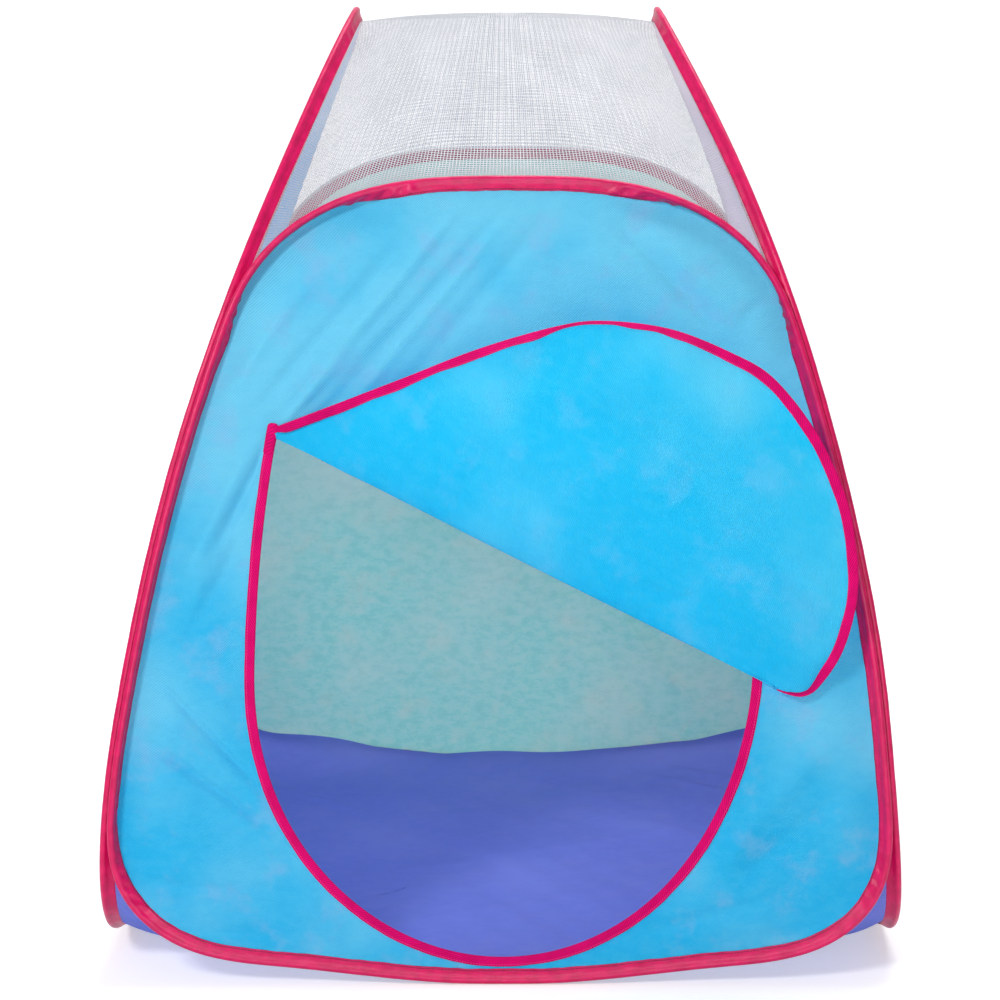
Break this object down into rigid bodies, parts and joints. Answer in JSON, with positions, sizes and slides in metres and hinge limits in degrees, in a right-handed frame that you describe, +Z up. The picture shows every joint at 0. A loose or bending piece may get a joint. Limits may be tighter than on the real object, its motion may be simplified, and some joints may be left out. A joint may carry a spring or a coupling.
{
  "type": "pop-up play tent",
  "caption": "Pop-up play tent: spring-steel hoops in sewn sleeves carry cloth walls, a see-through net roof, a floor sheet and an arched doorway whose flap folds open.",
  "frame": {"origin": "On the ground under the middle of the floor sheet", "axes": "+Z up, the doorway faces -Y, +X is to the right as seen by a person facing the doorway"},
  "size_m": [0.761, 0.7695, 0.9003],
  "materials": {
    "spring_steel": "bright drawn wire",
    "crimped_steel": "dull plated",
    "crimson_satin": "satin binding",
    "magenta_tape": "ribbed tape",
    "sky_blue_cloth": "light twill, softly mottled",
    "seafoam_cloth": "light twill, softly mottled",
    "violet_cloth": "light coated twill",
    "white_net": "open knitted net"
  },
  "bodies": {
    "front": {"front_hoop_sleeve": "crimson_satin", "front_hoop_wire": "spring_steel", "front_hoop_ferrule": "crimped_steel", "front_panel": "sky_blue_cloth", "door_opening_binding": "magenta_tape", "door_corner_loop": "magenta_tape", "floor_sheet": "violet_cloth", "roof_net_front": "white_net", "roof_net_back": "white_net"},
    "left": {"left_hoop_sleeve": "crimson_satin", "left_hoop_wire": "spring_steel", "left_hoop_ferrule": "crimped_steel", "left_panel": "sky_blue_cloth"},
    "right": {"right_hoop_sleeve": "crimson_satin", "right_hoop_wire": "spring_steel", "right_hoop_ferrule": "crimped_steel", "right_panel": "sky_blue_cloth"},
    "back": {"back_hoop_sleeve": "crimson_satin", "back_hoop_wire": "spring_steel", "back_hoop_ferrule": "crimped_steel", "back_panel": "seafoam_cloth"},
    "door": {"door_flap": "sky_blue_cloth", "door_flap_binding": "magenta_tape"}
  },
  "joints": [
    {"name": "front_left_fold", "type": "hinge", "parent": "front", "child": "left", "pos_m": [-0.34355, -0.34099, 0.39], "axis": [0.2073, 0.2075, 0.956], "range_deg": [0, 82], "stiffness_Nm_per_rad": 0.25, "springref_deg": -68.75, "deforming": ["floor_sheet", "roof_net_front", "roof_net_back"]},
    {"name": "front_right_fold", "type": "hinge", "parent": "front", "child": "right", "pos_m": [0.29514, -0.29257, 0.4], "axis": [-0.2122, 0.2124, 0.9539], "range_deg": [0, 85]},
    {"name": "back_left_fold", "type": "hinge", "parent": "left", "child": "back", "pos_m": [-0.29514, 0.29257, 0.4], "axis": [-0.2122, 0.2124, -0.9539], "range_deg": [0, 85]},
    {"name": "door_flap_hinge", "type": "hinge", "parent": "front", "child": "door", "pos_m": [0.00701, -0.33161, 0.39997], "axis": [0.8945, -0.0975, -0.4362], "range_deg": [0, 156]}
  ],
  "couplings": [
    {"joint": "front_right_fold", "follows": "front_left_fold", "ratio": 1.03},
    {"joint": "back_left_fold", "follows": "front_left_fold", "ratio": 1.03}
  ]
}
